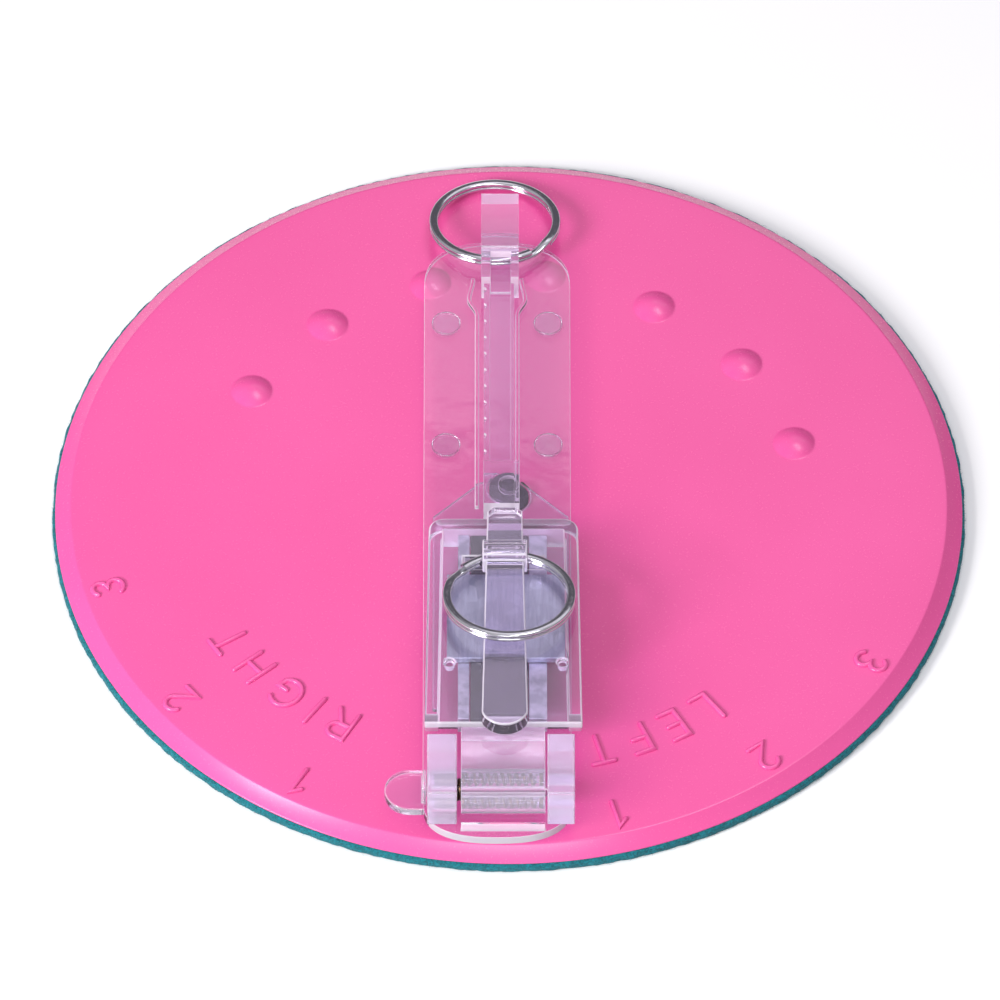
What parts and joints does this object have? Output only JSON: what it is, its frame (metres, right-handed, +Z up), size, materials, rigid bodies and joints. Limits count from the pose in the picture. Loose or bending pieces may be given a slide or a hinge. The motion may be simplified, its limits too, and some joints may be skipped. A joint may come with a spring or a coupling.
{
  "type": "indexed swivel clamp",
  "caption": "Round felt-backed base disc with domes and raised index numbers, under a clear swivelling arm with a pull slider, a hinged magnet hood and split rings.",
  "frame": {"origin": "centre of the felt pad's underside, on the surface that the object stands on", "axes": "+Z up, +Y along the arm at rest from its hinge to the far ring, +X to the right seen from the hinge end"},
  "size_m": [0.1376, 0.1376, 0.0174],
  "materials": {
    "felt": "teal pressed felt",
    "pink_plastic": "moulded pink plastic, satin gloss",
    "clear_acrylic": "clear moulded acrylic, glossy",
    "dark_steel": "blackened steel",
    "spring_steel": "drawn spring wire",
    "ferrite": "ground ferrite magnet, dark grey",
    "pole_steel": "plain steel strip",
    "zinc_steel": "galvanised sheet",
    "nickel": "nickel plated split ring"
  },
  "bodies": {
    "base": {"felt_pad": "felt", "index_disc": "pink_plastic", "pivot_screw": "dark_steel", "pivot_washer": "dark_steel"},
    "swivel_arm": {"swivel_plate": "clear_acrylic", "pivot_spacer": "clear_acrylic", "plate_foot_inner_left": "clear_acrylic", "plate_foot_inner_right": "clear_acrylic", "plate_foot_outer_left": "clear_acrylic", "plate_foot_outer_right": "clear_acrylic", "hinge_block_left": "clear_acrylic", "hinge_block_right": "clear_acrylic", "pin_spring": "spring_steel"},
    "release_pin": {"hinge_pin": "clear_acrylic", "pin_collar": "spring_steel"},
    "hood": {"hood_shell": "clear_acrylic", "hood_rib": "clear_acrylic", "hinge_barrel": "clear_acrylic", "magnet_bar": "ferrite", "pole_strip_left": "pole_steel", "pole_strip_right": "pole_steel", "keeper_plate": "zinc_steel"},
    "slider": {"pull_slider": "clear_acrylic"},
    "far_ring": {"far_ring": "nickel"},
    "near_ring": {"near_ring": "nickel"}
  },
  "joints": [
    {"name": "arm_swivel", "type": "hinge", "parent": "base", "child": "swivel_arm", "pos_m": [0, 0, 0.0044], "axis": [0, 0, 1], "range_deg": [-74.65, 60.35]},
    {"name": "pin_pull", "type": "slide", "parent": "swivel_arm", "child": "release_pin", "axis": [-1, 0, 0], "range_m": [0, 0.0052], "stiffness_N_per_m": 200, "springref_m": -0.003, "deforming": ["pin_spring"]},
    {"name": "hood_lift", "type": "hinge", "parent": "swivel_arm", "child": "hood", "pos_m": [0, -0.05922, 0.008], "axis": [1, 0, 0], "range_deg": [0, 30]},
    {"name": "slider_pull", "type": "slide", "parent": "swivel_arm", "child": "slider", "axis": [0, 1, 0], "range_m": [0, 0.006]},
    {"name": "far_ring_swing", "type": "hinge", "parent": "slider", "child": "far_ring", "pos_m": [-0.0021, 0.04405, 0.0081], "axis": [1, 0, 0], "range_deg": [0, 150]},
    {"name": "near_ring_swing", "type": "hinge", "parent": "hood", "child": "near_ring", "pos_m": [0.00005, -0.01855, 0.01308], "axis": [-1, 0, 0], "range_deg": [0, 120]}
  ]
}
